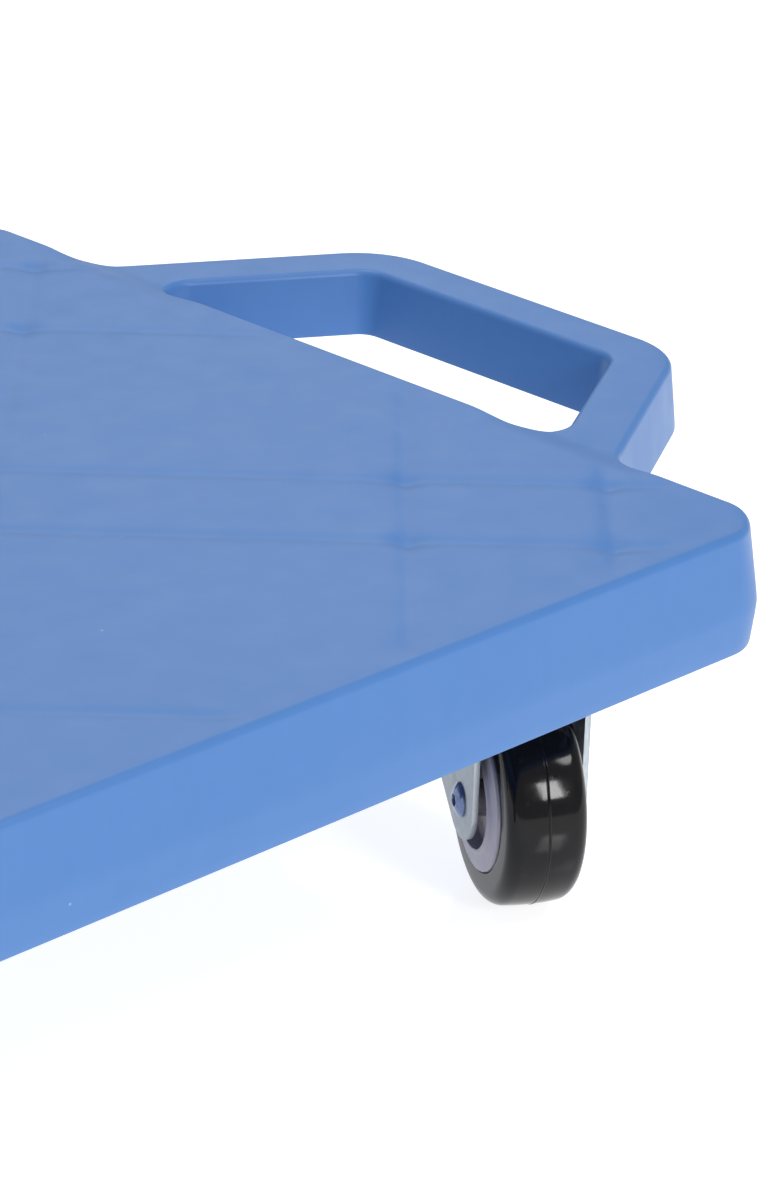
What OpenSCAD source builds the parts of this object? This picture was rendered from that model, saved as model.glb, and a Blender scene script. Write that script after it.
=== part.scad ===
// Low rolling board: a moulded square deck with a loop handle on two opposite sides,
// carried by four swivel casters.
// Millimetres. +Z is up, +X points at the right handle and -Y is the front.
// The origin is on the floor, below the middle of the deck.

/* [Deck] */
// Side of the square deck, at its widest line
deck_w = 304.8; // [290:0.2:340]
// Height of the deck from the bottom of its skirt to its top
deck_h = 32.1; // [30:0.1:40]
// Corner radius of the deck in plan
deck_corner_r = 17; // [15:0.5:28]
// Thickness of the top plate
deck_top_t = 4.5; // [3:0.1:6]
// Thickness of the skirt
skirt_t = 4; // [3:0.1:5]
// Thickness of the ribs under the deck
rib_t = 3; // [2:0.1:4]
// Depth of the mould's parting line below the top of the deck
parting_drop = 21; // [15:0.1:24]
// How far the walls lean out between the top and the parting line
wall_flare = 2.1; // [0:0.1:3]
// How far the walls lean in between the parting line and the bottom
skirt_taper = 1.3; // [0:0.1:2]
// Radius along the edge of the top
top_edge_r = 3; // [1:0.5:5]

/* [Handles] */
// Distance from the side of the deck to the outside of the handle bar
handle_reach = 76.2; // [70:0.1:82]
// Width of the handle bar and its legs, at the bottom
handle_w = 20.4; // [18:0.2:22]
// Height of the handle bar
handle_h = 18.2; // [16:0.1:18.4]
// Depth of the handle's top below the top of the deck
handle_drop = 2.5; // [1:0.1:5]
// Angle between the legs and the bar's square-on direction
leg_angle = 30; // [25:1:35]
// Outer radius of the two bends of the handle, at the bottom
bend_r = 26.9; // [25:0.1:30]
// How far the middle of each handle lies behind the middle of the deck
handle_shift = 3.7; // [0:0.1:6]
// Distance from the middle of the bar to the centre of each bend
bend_y = 41; // [36:0.5:46]
// Radius where a leg's outer side runs into the deck
leg_root_r = 20; // [14:0.5:24]
// Radius in the sharp corners of the hand hole
hand_hole_r = 10; // [6:0.5:12]

/* [Casters] */
// Distance from the deck's sides to each kingpin
caster_inset = 48.75; // [48:0.25:54]
// Wheel diameter
wheel_d = 55; // [50:0.5:57]
// Width of the tread
tread_w = 20.5; // [18:0.5:21]
// Distance the axle trails behind the kingpin
trail = 16.3; // [14:0.1:18]
// Direction in which all four casters trail, from +X towards +Y
trail_angle = -119.25; // [-180:0.25:180]
// Thickness of the fork's sheet steel
fork_t = 1.5; // [1.5:0.1:2]
// Width of the fork over its legs
fork_w = 29.4; // [29:0.1:31]
// Diameter of the axle sleeve
sleeve_d = 6; // [5.8:0.1:6]

/* [Hidden] */
$fn = 96;
EPS = 0.01;
BLUE = [0.40, 0.54, 0.79];
ZINC = [0.74, 0.77, 0.80];
STEEL = [0.62, 0.63, 0.66];
HUB_GREY = [0.60, 0.59, 0.66];
TREAD_BLACK = [0.09, 0.09, 0.10];

// Deck levels
half_w = deck_w / 2;
wheel_r = wheel_d / 2;
axle_to_top = 68.7;
deck_top = wheel_r + axle_to_top;
skirt_z = deck_top - deck_h;
parting_z = deck_top - parting_drop;
plate_under_z = deck_top - deck_top_t;
arc_centre = half_w - deck_corner_r;
skirt_lean = 1;
handle_draft = 1.9;

// Caster plates and what they hang from
kingpin_xy = half_w - caster_inset;
kingpin_diag = kingpin_xy * sqrt(2);
seat_z = skirt_z + 2.9;
plate_t = 2;
plate_len = 64;
plate_wid = 51;
plate_corner_r = 7;
screw_dx = 25;
screw_dy = 19.6;
rib_lines = [screw_dy, kingpin_diag - screw_dx, kingpin_diag + screw_dx];
boss_r = 5.5;
screw_r = 2.4;
screw_len = 16;
pilot_len = 18;
screw_head_r = 4.6;
screw_head_h = 2.4;
screw_hole_r = 2.75;

// Swivel races, from the plate down
race_fit = 0.03;
upper_ball_r = 1.985;
upper_pitch_r = 12.5;
upper_groove = 0.4;
upper_balls_n = 18;
lower_ball_r = 1.39;
lower_pitch_r = 6.5;
lower_groove = 0.3;
lower_balls_n = 13;
plate_bottom = seat_z - plate_t;
upper_ball_z = plate_bottom + upper_groove - upper_ball_r - race_fit;
crown_top = upper_ball_z - upper_ball_r - race_fit + upper_groove;
crown_bottom = crown_top - fork_t;
crown_r = 16;
dish_h = 1.5;
dish_r = 8.9;
dish_wall = 1.5;
lower_ball_z = crown_bottom + dish_h + lower_groove - lower_ball_r - race_fit;
cap_top = lower_ball_z - lower_ball_r - race_fit + lower_groove;
cap_t = 1.5;
cap_r = 9.3;
kingpin_r = 3.5;
kingpin_head_r = 5.5;
kingpin_head_h = 1.6;
kingpin_hole_r = 4.4;

// Fork legs
leg_round_r = 10;
leg_lead = -27;
leg_slope = 33;
bend_out_r = 3;
leg_in = fork_w / 2 - fork_t;
leg_hole_r = sleeve_d / 2 + 0.15;

// Axle: a sleeve and a screw, both with a low domed head and a hexagon socket
axle_head_r = 4.4;
axle_head_h = 1.9;
axle_head_rim = 0.5;
socket_af = 3;
socket_depth = 1.2;
axle_screw_r = 2;
axle_screw_len = 20;
sleeve_bore_len = 22;
sleeve_gap = 0.2;

// Wheel and its two ball bearings
bearing_w = 6;
bearing_gap = 4;
bearing_r = 9.5;
outer_ring_in_r = 7.3;
inner_ring_out_r = 5.1;
bearing_ball_r = 1.75;
bearing_pitch_r = 6.2;
bearing_balls_n = 7;
shield_t = 0.4;
shield_gap = 0.2;
bearing_mid = (bearing_gap + bearing_w) / 2;
spacer_r = 4.6;
hub_r = 18.4;
hub_face_y = 10.9;
hub_lip_y = 12;
hub_lip_r = 12.6;
hub_lip_t = 0.6;
hub_recess_r = 12;
hub_recess_y = bearing_gap / 2 + bearing_w;
hub_waist_r = 16.9;
hub_waist_y = 7;
hub_bore_r = 8.5;
shoulder_r = 4.1;

// Corner name, and the signs of its x and y
CORNERS = [
    ["front_right", 1, -1],
    ["front_left", -1, -1],
    ["rear_right", 1, 1],
    ["rear_left", -1, 1],
];
CASTER_NODES = [
    "caster_plate", "kingpin", "race_cap", "upper_balls", "lower_balls", "fork",
    "axle_screw", "axle_sleeve", "axle_spacers", "bearing_inner_rings", "bearing_balls",
    "bearing_outer_rings", "wheel_hub", "tread",
];

// Points of an arc about (cx, cy), from angle a0 to a1 in steps
function arc(cx, cy, r, a0, a1, steps) =
    [for (i = [0:steps]) let (a = a0 + (a1 - a0) * i / steps) [cx + r * cos(a), cy + r * sin(a)]];

// ---------------------------------------------------------------- deck

// Section of the deck's rim and top plate: x runs outward, y up
module rim_section() {
    top_r = deck_corner_r - wall_flare;
    foot_r = deck_corner_r - skirt_taper;
    polygon(concat(
        [[0, plate_under_z], [0, deck_top]],
        arc(top_r - top_edge_r, deck_top - top_edge_r, top_edge_r, 90, 0, 4),
        [[deck_corner_r, parting_z],
         [foot_r, skirt_z],
         [foot_r - skirt_t, skirt_z],
         [foot_r - skirt_t - skirt_lean, plate_under_z]]
    ));
}

module deck_shell() {
    for (quarter = [0:3]) rotate(90 * quarter) {
        translate([arc_centre, arc_centre, 0]) rotate_extrude(angle = 90) rim_section();
        translate([arc_centre, arc_centre, 0])
            rotate([90, 0, 0]) linear_extrude(2 * arc_centre) rim_section();
    }
    translate([-arc_centre, -arc_centre, plate_under_z])
        cube([2 * arc_centre, 2 * arc_centre, deck_top_t]);
}

// Square with round corners, centred on the origin
module round_square(wide, deep, r) {
    square([wide, deep - 2 * r], center = true);
    square([wide - 2 * r, deep], center = true);
    for (sx = [-1, 1]) for (sy = [-1, 1])
        translate([sx * (wide / 2 - r), sy * (deep / 2 - r)]) circle(r);
}

// Ribs run along both diagonals, two either side of the middle and two pairs over the casters
module ribs() {
    reach = deck_w;
    rib_h = deck_top - deck_top_t / 2 - seat_z;
    inset = skirt_taper + skirt_t / 2;
    corner = half_w - deck_corner_r;
    intersection() {
        for (turn = [-45, 45]) rotate(turn)
            for (off = rib_lines) for (side = [-1, 1])
                translate([-reach / 2, side * off - rib_t / 2, seat_z])
                    cube([reach, rib_t, rib_h]);
        linear_extrude(deck_top) polygon([
            for (quarter = [0:3])
                let (turn = 90 * quarter, c = corner * sqrt(2), at = turn + 45)
                each arc(c * cos(at), c * sin(at), deck_corner_r - inset, turn, turn + 90, 6)
        ]);
    }
}

// Places its children at each caster's kingpin, with +X along the diagonal through the corner
module at_kingpins() {
    for (c = CORNERS)
        translate([c[1] * kingpin_xy, c[2] * kingpin_xy, 0]) rotate(atan2(c[2], c[1])) children();
}

module at_screws() {
    for (sx = [-1, 1]) for (sy = [-1, 1]) translate([sx * screw_dx, sy * screw_dy, 0]) children();
}

// Section of a handle: x runs out from the centre of the bend, y up.
// It is a channel, open underneath. All its faces stand back by slim.
module handle_section(slim = 0) {
    inner = bend_r - handle_w + slim;
    outer = bend_r - slim;
    z1 = deck_top - handle_drop - slim;
    z0 = deck_top - handle_drop - handle_h + slim;
    wall = 3.5 - 2 * slim;
    roof = 4 - 2 * slim;
    edge = 3;
    polygon(concat(
        [[inner, z0]],
        arc(inner + handle_draft + edge, z1 - edge, edge, 180, 90, 4),
        arc(outer - handle_draft - edge, z1 - edge, edge, 90, 0, 4),
        [[outer, z0],
         [outer - wall, z0],
         [outer - wall - handle_draft, z1 - roof],
         [inner + wall + handle_draft, z1 - roof],
         [inner + wall, z0]]
    ));
}

// Fills the corner between the deck's side and a leg, leaving a round of radius r.
// The leg's line is lean.x * x + lean.y * y = line, and side is 1 outside it, -1 inside it.
module leg_fillet(r, line, side) {
    lean = [cos(90 - leg_angle), sin(90 - leg_angle)];
    inset = handle_draft + 0.3;
    wall_x = half_w - inset;
    root_x = half_w - skirt_t + EPS;
    cx = wall_x + r;
    cy = (line + side * r - lean[0] * cx) / lean[1];
    depth = handle_w / 3;
    foot = [cx, cy] - side * r * lean;
    into = foot - side * depth * lean;
    root_y = (line - side * depth - lean[0] * root_x) / lean[1];
    foot_angle = side > 0 ? 270 - leg_angle : 90 - leg_angle;
    step = 1;
    z0 = deck_top - handle_drop - handle_h + step;
    translate([0, 0, z0]) linear_extrude(handle_h - 2 * step)
        polygon(concat(
            [[root_x, cy]],
            arc(cx, cy, r, 180, foot_angle, 5),
            [into, [root_x, root_y]]
        ));
}

module handle() {
    cx = half_w + handle_reach - bend_r;
    swing = 90 - leg_angle;
    leg_len = (cx + bend_r - half_w + skirt_t) / cos(leg_angle);
    root_x = half_w - skirt_t + EPS;
    outer_line = cos(swing) * cx + sin(swing) * bend_y + bend_r;
    fillet_inset = handle_draft + 0.3;
    rib_pitch = 26;
    slim = 0.05;
    lap = 0.4;
    translate([cx, bend_y, 0]) rotate([90, 0, 0]) linear_extrude(2 * bend_y) handle_section();
    for (side = [0, 1]) mirror([0, side, 0]) {
        translate([cx, bend_y, 0]) rotate_extrude(angle = swing) handle_section();
        intersection() {
            translate([cx, bend_y, 0]) rotate(swing) translate([0, leg_len, 0])
                rotate([90, 0, 0]) linear_extrude(leg_len + lap) handle_section(slim);
            translate([root_x, 0, 0]) cube([handle_reach, deck_w, deck_top]);
        }
        leg_fillet(leg_root_r, outer_line - fillet_inset, 1);
        leg_fillet(hand_hole_r, outer_line - handle_w + fillet_inset, -1);
    }
    for (i = [-1:1])
        translate([cx + bend_r - handle_w + 2, i * rib_pitch - 1.25, deck_top - handle_drop - 14])
            cube([handle_w - 4, 2.5, 11]);
}

module deck() {
    color(BLUE) difference() {
        union() {
            deck_shell();
            ribs();
            at_kingpins() at_screws() translate([0, 0, seat_z])
                cylinder(r = boss_r, h = plate_under_z + deck_top_t / 2 - seat_z);
            for (side = [0, 1]) mirror([side, 0, 0]) translate([0, handle_shift, 0]) handle();
        }
        at_kingpins() at_screws() translate([0, 0, seat_z - EPS])
            cylinder(r = screw_r, h = pilot_len + EPS);
    }
}

// ---------------------------------------------------------------- caster, fixed parts

module mount_screws() {
    cone_h = 1;
    slot_l = 5;
    slot_w = 0.9;
    slot_d = 1.3;
    head_z = plate_bottom - screw_head_h;
    color(ZINC) at_kingpins() at_screws() difference() {
        union() {
            translate([0, 0, plate_bottom - EPS]) cylinder(r = screw_r, h = plate_t + screw_len);
            translate([0, 0, head_z + cone_h]) cylinder(r = screw_head_r, h = screw_head_h - cone_h);
            translate([0, 0, head_z]) cylinder(r1 = screw_head_r - cone_h, r2 = screw_head_r, h = cone_h);
        }
        for (turn = [0, 90]) rotate(turn) translate([-slot_l / 2, -slot_w / 2, head_z - EPS])
            cube([slot_l, slot_w, slot_d]);
    }
}

// Ring groove for a row of balls, as a solid to cut away
module race_cut(pitch, z, ball_r) {
    translate([0, 0, z]) rotate_extrude() translate([pitch, 0]) circle(ball_r + race_fit);
}

module caster_plate(turn) {
    color(ZINC) rotate(turn) difference() {
        translate([0, 0, plate_bottom]) linear_extrude(plate_t) difference() {
            round_square(plate_len, plate_wid, plate_corner_r);
            circle(kingpin_r);
            at_screws() circle(screw_hole_r);
        }
        race_cut(upper_pitch_r, upper_ball_z, upper_ball_r);
    }
}

// Rivet through the plate, the crown and the race cap, with both ends headed over
module kingpin() {
    bevel = 0.7;
    low = cap_top - cap_t - kingpin_head_h;
    color(STEEL) {
        translate([0, 0, low + bevel - EPS]) cylinder(r = kingpin_r, h = seat_z - low);
        translate([0, 0, low + bevel]) cylinder(r = kingpin_head_r, h = kingpin_head_h - bevel);
        translate([0, 0, low]) cylinder(r1 = kingpin_head_r - bevel, r2 = kingpin_head_r, h = bevel);
        translate([0, 0, seat_z]) cylinder(r = kingpin_head_r, h = kingpin_head_h - bevel);
        translate([0, 0, seat_z + kingpin_head_h - bevel])
            cylinder(r1 = kingpin_head_r, r2 = kingpin_head_r - bevel, h = bevel);
    }
}

module race_cap() {
    color(STEEL) difference() {
        translate([0, 0, cap_top - cap_t]) cylinder(r = cap_r, h = cap_t);
        translate([0, 0, cap_top - cap_t - EPS]) cylinder(r = kingpin_r, h = cap_t + 2 * EPS);
        race_cut(lower_pitch_r, lower_ball_z, lower_ball_r);
    }
}

// ---------------------------------------------------------------- caster, swivelling parts

module ball_row(count, pitch, ball_r) {
    for (i = [0:count - 1]) rotate(360 * i / count) translate([pitch, 0, 0]) sphere(ball_r);
}

module upper_balls() {
    color(STEEL) translate([0, 0, upper_ball_z]) ball_row(upper_balls_n, upper_pitch_r, upper_ball_r);
}

module lower_balls() {
    color(STEEL) translate([0, 0, lower_ball_z]) ball_row(lower_balls_n, lower_pitch_r, lower_ball_r);
}

// Places its children on the axle, with +Z along the axle towards the sleeve's head
module on_axle() {
    translate([trail, 0, wheel_r]) rotate([-90, 0, 0]) children();
}

// Section of the folded strip that makes the crown and both legs: x across, y up
module fork_section() {
    half = fork_w / 2;
    low = wheel_r - leg_round_r - 1;
    bend = half - bend_out_r;
    polygon(concat(
        [[leg_in, low], [half, low]],
        arc(bend, crown_top - bend_out_r, bend_out_r, 0, 90, 4),
        arc(-bend, crown_top - bend_out_r, bend_out_r, 90, 180, 4),
        [[-half, low], [-leg_in, low], [-leg_in, crown_bottom], [leg_in, crown_bottom]]
    ));
}

// Outline of a leg from the side: x along the trail, y up
module leg_outline() {
    touch = leg_round_r * [-sin(leg_slope), -cos(leg_slope)];
    lead_y = touch[1] + (touch[0] - leg_lead) * tan(leg_slope);
    translate([trail, wheel_r]) polygon(concat(
        [[leg_round_r, crown_top], [leg_lead, crown_top], [leg_lead, lead_y]],
        arc(0, 0, leg_round_r, 270 - leg_slope, 360, 12)
    ));
}

module fork() {
    first_x = trail + leg_lead - 1;
    color(ZINC) difference() {
        union() {
            intersection() {
                translate([first_x, 0, 0]) rotate([90, 0, 90])
                    linear_extrude(trail + leg_round_r - first_x + 1) fork_section();
                translate([0, fork_w, 0]) rotate([90, 0, 0]) linear_extrude(2 * fork_w) leg_outline();
            }
            translate([0, 0, crown_bottom]) cylinder(r = crown_r, h = fork_t);
            translate([0, 0, crown_bottom]) cylinder(r = dish_r + dish_wall, h = fork_t + dish_h);
        }
        translate([0, 0, crown_bottom - EPS]) cylinder(r = dish_r, h = dish_h + EPS);
        translate([0, 0, crown_bottom]) cylinder(r = kingpin_hole_r, h = fork_t + dish_h + 1);
        race_cut(upper_pitch_r, upper_ball_z, upper_ball_r);
        race_cut(lower_pitch_r, lower_ball_z, lower_ball_r);
        on_axle() translate([0, 0, -fork_w]) cylinder(r = leg_hole_r, h = 2 * fork_w);
    }
}

// Low domed head with a hexagon socket, standing on the plane z = 0
module button_head() {
    rise = axle_head_h - axle_head_rim;
    dome_r = (axle_head_r * axle_head_r + rise * rise) / (2 * rise);
    dome_z = axle_head_h - dome_r;
    rim_angle = atan2(axle_head_rim - dome_z, axle_head_r);
    difference() {
        rotate_extrude() polygon(concat(
            [[0, 0], [axle_head_r, 0]],
            arc(0, dome_z, dome_r, rim_angle, 90, 6)
        ));
        translate([0, 0, axle_head_h - socket_depth])
            cylinder(r = socket_af / 2 / cos(30), h = socket_depth + EPS, $fn = 6);
    }
}

module axle_sleeve() {
    sleeve_r = sleeve_d / 2;
    near = sleeve_gap - fork_w / 2;
    color(ZINC) on_axle() {
        difference() {
            translate([0, 0, near]) cylinder(r = sleeve_r, h = fork_w - sleeve_gap + EPS);
            translate([0, 0, near - EPS]) cylinder(r = axle_screw_r, h = sleeve_bore_len);
        }
        translate([0, 0, fork_w / 2]) button_head();
    }
}

module axle_screw() {
    color(ZINC) on_axle() translate([0, 0, -fork_w / 2]) {
        translate([0, 0, -EPS]) cylinder(r = axle_screw_r - race_fit, h = axle_screw_len + EPS);
        mirror([0, 0, 1]) button_head();
    }
}

// Ring about the axle, from z0 to z1
module axle_ring(r_in, r_out, z0, z1) {
    translate([0, 0, z0]) linear_extrude(z1 - z0) difference() {
        circle(r_out);
        circle(r_in);
    }
}

// One spacer between the bearings, and one from each bearing to its leg
module axle_spacers() {
    bore = sleeve_d / 2 + 0.05;
    far = bearing_gap / 2 + bearing_w;
    color(STEEL) on_axle() {
        axle_ring(bore, spacer_r, -bearing_gap / 2, bearing_gap / 2);
        for (side = [0, 1]) mirror([0, 0, side]) axle_ring(bore, spacer_r, far, leg_in);
    }
}

module bearing_rings(r_in, r_out) {
    color(STEEL) on_axle() for (side = [-1, 1]) difference() {
        axle_ring(r_in, r_out, side * bearing_mid - bearing_w / 2, side * bearing_mid + bearing_w / 2);
        race_cut(bearing_pitch_r, side * bearing_mid, bearing_ball_r);
    }
}

module bearing_inner_rings() {
    bearing_rings(sleeve_d / 2, inner_ring_out_r);
}

module bearing_balls() {
    color(STEEL) on_axle() for (side = [-1, 1]) translate([0, 0, side * bearing_mid])
        ball_row(bearing_balls_n, bearing_pitch_r, bearing_ball_r);
}

// ---------------------------------------------------------------- wheel

// Outer rings, each with a thin shield over the balls on both of its faces
module bearing_outer_rings() {
    bearing_rings(outer_ring_in_r, bearing_r);
    shield_r = inner_ring_out_r + shield_gap;
    color(STEEL) on_axle() for (side = [-1, 1]) for (face = [0, 1]) {
        z0 = side * bearing_mid - bearing_w / 2 + face * (bearing_w - shield_t);
        axle_ring(shield_r, outer_ring_in_r + shield_gap, z0, z0 + shield_t);
    }
}

// Half of the hub's section, which is mirrored: x runs out from the axle, y along it
module hub_half() {
    polygon([
        [hub_bore_r, 0], [hub_bore_r, bearing_gap / 2], [bearing_r, bearing_gap / 2],
        [bearing_r, hub_recess_y], [hub_recess_r, hub_recess_y],
        [hub_lip_r, hub_lip_y], [hub_lip_r + hub_lip_t, hub_lip_y], [hub_r, hub_face_y],
        [hub_r, hub_waist_y],
        [hub_waist_r, hub_waist_y], [hub_waist_r, 0],
    ]);
}

module wheel_hub() {
    color(HUB_GREY) on_axle() for (side = [0, 1]) mirror([0, 0, side]) rotate_extrude() hub_half();
}

module tread_half() {
    side_y = tread_w / 2;
    polygon(concat(
        [[hub_waist_r, 0], [hub_waist_r, hub_waist_y], [hub_r, hub_waist_y], [hub_r, side_y]],
        arc(wheel_r - shoulder_r, side_y - shoulder_r, shoulder_r, 90, 0, 6),
        [[wheel_r, 0]]
    ));
}

module tread() {
    color(TREAD_BLACK) on_axle() {
        for (side = [0, 1]) mirror([0, 0, side]) rotate_extrude() tread_half();
    }
}

// ---------------------------------------------------------------- assembly

module at_corner(c) {
    translate([c[1] * kingpin_xy, c[2] * kingpin_xy, 0]) children();
}

module swivelled(c) {
    at_corner(c) rotate(trail_angle) children();
}

deck();
mount_screws();
for (c = CORNERS) {
    at_corner(c) caster_plate(atan2(c[2], c[1]));
    at_corner(c) kingpin();
    at_corner(c) race_cap();
    swivelled(c) upper_balls();
    swivelled(c) lower_balls();
    swivelled(c) fork();
    swivelled(c) axle_screw();
    swivelled(c) axle_sleeve();
    swivelled(c) axle_spacers();
    swivelled(c) bearing_inner_rings();
    swivelled(c) bearing_balls();
    swivelled(c) bearing_outer_rings();
    swivelled(c) wheel_hub();
    swivelled(c) tread();
}
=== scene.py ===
"""A square moulded scooter board with two handles and four swivel casters."""
import math

import bmesh
import bpy
import numpy as np
from mathutils import Matrix, Vector
from mathutils.geometry import delaunay_2d_cdt
from mathutils.kdtree import KDTree


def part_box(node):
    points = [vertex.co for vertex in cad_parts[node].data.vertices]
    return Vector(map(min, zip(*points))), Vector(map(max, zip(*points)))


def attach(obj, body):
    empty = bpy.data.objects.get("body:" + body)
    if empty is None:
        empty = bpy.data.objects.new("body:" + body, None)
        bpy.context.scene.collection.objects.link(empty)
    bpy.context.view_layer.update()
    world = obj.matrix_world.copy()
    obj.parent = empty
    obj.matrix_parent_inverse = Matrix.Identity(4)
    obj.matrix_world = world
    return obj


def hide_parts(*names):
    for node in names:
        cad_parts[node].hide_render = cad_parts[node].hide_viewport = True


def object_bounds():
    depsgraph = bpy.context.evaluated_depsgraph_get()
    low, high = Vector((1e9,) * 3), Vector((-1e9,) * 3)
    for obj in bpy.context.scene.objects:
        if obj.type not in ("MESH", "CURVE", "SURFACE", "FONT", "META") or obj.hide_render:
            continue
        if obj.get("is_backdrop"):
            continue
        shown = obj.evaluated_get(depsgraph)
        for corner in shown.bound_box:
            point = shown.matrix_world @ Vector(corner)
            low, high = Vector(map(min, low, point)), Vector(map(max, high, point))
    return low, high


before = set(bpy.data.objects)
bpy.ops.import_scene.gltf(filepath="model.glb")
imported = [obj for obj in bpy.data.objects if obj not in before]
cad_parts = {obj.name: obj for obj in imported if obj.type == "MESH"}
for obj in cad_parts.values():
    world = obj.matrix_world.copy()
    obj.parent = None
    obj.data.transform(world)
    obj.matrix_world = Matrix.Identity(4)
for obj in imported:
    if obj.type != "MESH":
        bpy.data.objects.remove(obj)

CAD_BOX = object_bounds()
MM = 0.001
CORNERS = ("front_right", "front_left", "rear_right", "rear_left")

# ---------------------------------------------------------------- camera, in metres and degrees

CAMERA_AT = Vector((-0.6335, -0.7728, 0.5037))
CAMERA_YAW = math.radians(43.859)
CAMERA_PITCH = math.radians(23.441)
CAMERA_ROLL = math.radians(-1.933)
CAMERA_LENS = 132.68


def make_camera():
    """A camera that looks down along its yaw, turned a little about its own axis."""
    yaw, pitch = CAMERA_YAW, CAMERA_PITCH
    ahead = Vector((math.cos(yaw) * math.cos(pitch), math.sin(yaw) * math.cos(pitch), -math.sin(pitch)))
    right = Vector((math.sin(yaw), -math.cos(yaw), 0))
    down = ahead.cross(right)
    turned_right = math.cos(CAMERA_ROLL) * right + math.sin(CAMERA_ROLL) * down
    turned_down = math.cos(CAMERA_ROLL) * down - math.sin(CAMERA_ROLL) * right
    camera = bpy.data.objects.new("camera", bpy.data.cameras.new("camera"))
    camera.matrix_world = Matrix((turned_right, -turned_down, -ahead)).transposed().to_4x4()
    camera.location = CAMERA_AT
    camera.data.lens = CAMERA_LENS
    camera.data.clip_start = 0.05
    camera.data.clip_end = 50
    bpy.context.scene.collection.objects.link(camera)
    bpy.context.scene.camera = camera


# ---------------------------------------------------------------- light and floor, in metres

FLOOR_REACH = 8
WORLD_STRENGTH = 0.42


def softbox(name, at, target, wide, tall, radiance, colour=(1, 1, 1)):
    """A rectangular studio light that faces its target."""
    light = bpy.data.lights.new(name, "AREA")
    light.shape = "RECTANGLE"
    light.size = wide
    light.size_y = tall
    light.energy = radiance * math.pi * wide * tall
    light.color = colour
    lamp = bpy.data.objects.new(name, light)
    lamp.location = at
    lamp.rotation_euler = (Vector(target) - Vector(at)).to_track_quat("-Z", "Y").to_euler()
    bpy.context.scene.collection.objects.link(lamp)


def make_studio():
    """A pale even surround, four softboxes and a plain floor."""
    world = bpy.data.worlds.new("studio")
    world.use_nodes = True
    sky = world.node_tree.nodes["Background"]
    sky.inputs["Color"].default_value = (1, 1, 1, 1)
    sky.inputs["Strength"].default_value = WORLD_STRENGTH
    bpy.context.scene.world = world
    bpy.context.scene.view_settings.view_transform = "Standard"
    softbox("key", (-0.15, -1.53, 0.73), (0.05, 0, 0.06), 0.28, 0.47, 22)
    softbox("side_front", (0.37, -0.99, 1.21), (0.10, -0.12, 0.03), 0.33, 0.33, 11)
    softbox("overhead", (0.15, 0.35, 1.8), (0, 0, 0.08), 1.2, 1.2, 2.9, (1, 0.985, 0.97))
    softbox("back", (1.3, 1.4, 1.1), (0.1, 0.1, 0.08), 1.0, 0.8, 1.15, (1, 0.97, 1.0))
    mesh = bpy.data.meshes.new("floor")
    corners = [(x * FLOOR_REACH, y * FLOOR_REACH, 0) for x, y in ((-1, -1), (1, -1), (1, 1), (-1, 1))]
    mesh.from_pydata(corners, [], [(0, 1, 2, 3)])
    floor = bpy.data.objects.new("floor", mesh)
    bpy.context.scene.collection.objects.link(floor)
    mesh.materials.append(floor_material())
    floor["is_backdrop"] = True


# ---------------------------------------------------------------- material tools

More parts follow.
